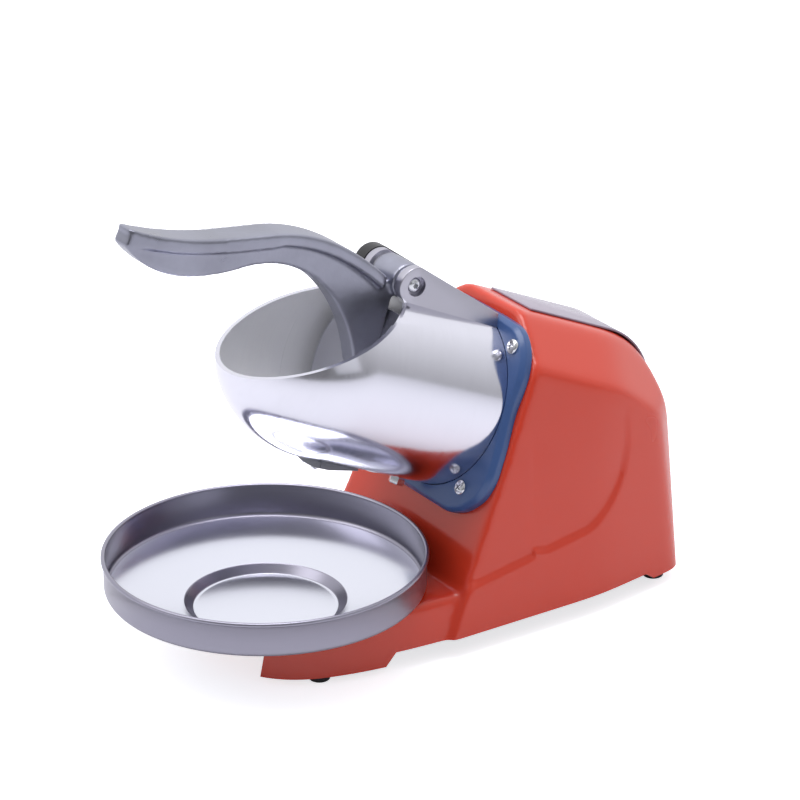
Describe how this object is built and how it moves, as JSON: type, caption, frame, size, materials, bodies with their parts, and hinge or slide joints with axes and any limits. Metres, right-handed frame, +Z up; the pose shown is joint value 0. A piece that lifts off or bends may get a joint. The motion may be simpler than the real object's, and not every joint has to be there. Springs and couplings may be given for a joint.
{
  "type": "shaved ice machine",
  "caption": "Electric ice shaver: press lever over a tilted aluminium hopper, motor-driven blade disc in an orange housing, and a steel bowl on a low tongue.",
  "frame": {"origin": "on the table, at the middle of the machine's footprint", "axes": "+Z up, -Y towards the bowl and the user, +X to the side without the safety switch"},
  "size_m": [0.21, 0.3935, 0.311],
  "materials": {
    "orange_shell": "glossy moulded ABS",
    "grey_panel": "glossy",
    "base_plastic": "fine texture",
    "blue_grey_trim": "satin gloss",
    "foot_rubber": "matt",
    "polished_aluminium": "polished",
    "cast_aluminium": "tumbled casting",
    "cast_aluminium_dark": "as cast",
    "black_plastic": "satin",
    "switch_red": "glossy",
    "white_plastic": "satin",
    "motor_steel": "zinc plated",
    "magnet_iron": "matt",
    "copper_winding": "enamelled wire",
    "circuit_board": "lacquered",
    "ground_steel": "ground",
    "brushed_stainless": "brushed",
    "bright_steel": "zinc plated"
  },
  "bodies": {
    "root": {"housing": "orange_shell", "top_panel": "grey_panel", "base_plate": "base_plastic", "base_screws": "bright_steel", "rubber_feet": "foot_rubber", "foot_screws": "bright_steel", "trim_pad": "blue_grey_trim", "trim_screws": "bright_steel", "hopper": "polished_aluminium", "ice_spout": "cast_aluminium_dark", "spout_screws": "bright_steel", "clamp_bolt": "bright_steel", "switch_cover": "black_plastic", "micro_switch": "switch_red", "motor_can": "motor_steel", "motor_end_cap": "black_plastic", "motor_magnets": "magnet_iron", "motor_screws": "bright_steel", "front_bearing": "bright_steel", "rear_bearing": "bright_steel", "brushes": "magnet_iron", "rectifier_board": "circuit_board", "board_screws": "bright_steel", "cord_gland": "black_plastic", "rocker_frame": "black_plastic"},
    "lever": {"lever": "cast_aluminium", "hinge_pin": "bright_steel", "hinge_spacers": "bright_steel", "hinge_screw": "bright_steel", "switch_cam": "white_plastic", "pusher_plate": "cast_aluminium", "pusher_screws": "bright_steel"},
    "rotor": {"motor_shaft": "bright_steel", "armature": "copper_winding", "commutator": "copper_winding", "cooling_fan": "black_plastic", "blade_disc": "ground_steel", "blades": "ground_steel", "blade_screws": "bright_steel", "disc_nut": "bright_steel"},
    "power_rocker": {"rocker": "switch_red"},
    "plunger": {"switch_plunger": "white_plastic"},
    "bowl": {"bowl": "brushed_stainless"}
  },
  "joints": [
    {"name": "press_lever", "type": "hinge", "parent": "root", "child": "lever", "pos_m": [0, 0.00989, 0.23459], "axis": [-1, 0, 0], "range_deg": [0, 95]},
    {"name": "blade_spin", "type": "hinge", "parent": "root", "child": "rotor", "pos_m": [0, -0.01279, 0.17134], "axis": [0, -0.9135, 0.4067], "continuous": true},
    {"name": "power_switch", "type": "hinge", "parent": "root", "child": "power_rocker", "pos_m": [-0.024, 0.1928, 0.058], "axis": [1, 0, 0], "range_deg": [0, 16]},
    {"name": "safety_plunger", "type": "slide", "parent": "root", "child": "plunger", "axis": [0, -0.9135, 0.4067], "range_m": [0, 0.0013]},
    {"name": "bowl_lift", "type": "slide", "parent": "root", "child": "bowl", "axis": [0, 0, 1], "range_m": [0, 0.016]}
  ],
  "couplings": [
    {"joint": "safety_plunger", "follows": "press_lever", "m_per_rad": 0.00072374}
  ]
}
